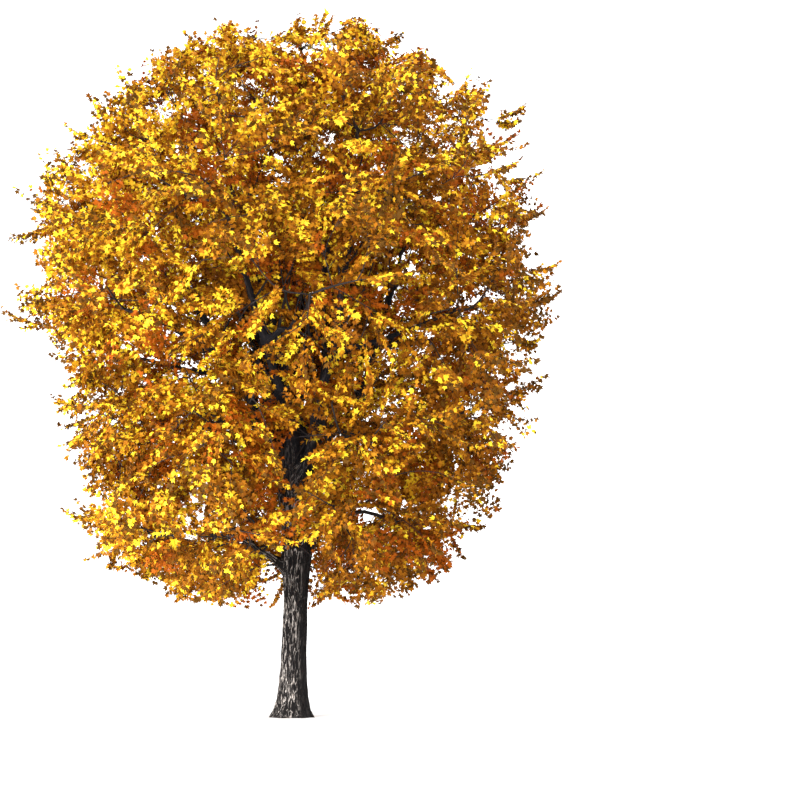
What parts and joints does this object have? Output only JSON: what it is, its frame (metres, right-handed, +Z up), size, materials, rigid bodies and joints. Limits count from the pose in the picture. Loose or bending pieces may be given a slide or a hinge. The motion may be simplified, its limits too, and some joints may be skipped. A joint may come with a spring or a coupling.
{
  "type": "silver maple tree",
  "caption": "Mature silver maple in autumn leaf: a straight flared trunk that divides into steep boughs under a tall rounded head of yellow, gold and tawny foliage.",
  "frame": {"origin": "centre of the flat cut under the trunk, at ground level", "axes": "+Z up the trunk; +X to the right of the picture; -Y towards the picture's viewer"},
  "size_m": [15.7504, 16.2717, 20.1096],
  "materials": {
    "bark": "rough, furrowed bark",
    "foliage": "matte autumn leaves"
  },
  "bodies": {
    "root": {"trunk": "bark", "bough_skirt_1": "bark", "bough_skirt_2": "bark", "bough_skirt_3": "bark", "bough_skirt_4": "bark", "bough_skirt_5": "bark", "bough_skirt_6": "bark", "bough_lower_1": "bark", "bough_lower_2": "bark", "bough_lower_3": "bark", "bough_lower_4": "bark", "bough_lower_5": "bark", "bough_lower_6": "bark", "bough_middle_1": "bark", "bough_middle_2": "bark", "bough_middle_3": "bark", "bough_middle_4": "bark", "bough_middle_5": "bark", "bough_middle_6": "bark", "bough_upper_1": "bark", "bough_upper_2": "bark", "bough_upper_3": "bark", "bough_upper_4": "bark", "bough_upper_5": "bark", "bough_upper_6": "bark", "bough_high_1": "bark", "bough_high_2": "bark", "bough_high_3": "bark", "bough_high_4": "bark", "bough_high_5": "bark", "foliage_skirt_1": "foliage", "foliage_skirt_2": "foliage", "foliage_skirt_3": "foliage", "foliage_skirt_4": "foliage", "foliage_skirt_5": "foliage", "foliage_skirt_6": "foliage", "foliage_lower_1": "foliage", "foliage_lower_2": "foliage", "foliage_lower_3": "foliage", "foliage_lower_4": "foliage", "foliage_lower_5": "foliage", "foliage_lower_6": "foliage", "foliage_middle_1": "foliage", "foliage_middle_2": "foliage", "foliage_middle_3": "foliage", "foliage_middle_4": "foliage", "foliage_middle_5": "foliage", "foliage_middle_6": "foliage", "foliage_upper_1": "foliage", "foliage_upper_2": "foliage", "foliage_upper_3": "foliage", "foliage_upper_4": "foliage", "foliage_upper_5": "foliage", "foliage_upper_6": "foliage", "foliage_high_1": "foliage", "foliage_high_2": "foliage", "foliage_high_3": "foliage", "foliage_high_4": "foliage", "foliage_high_5": "foliage", "foliage_top_1": "foliage"}
  },
  "joints": []
}
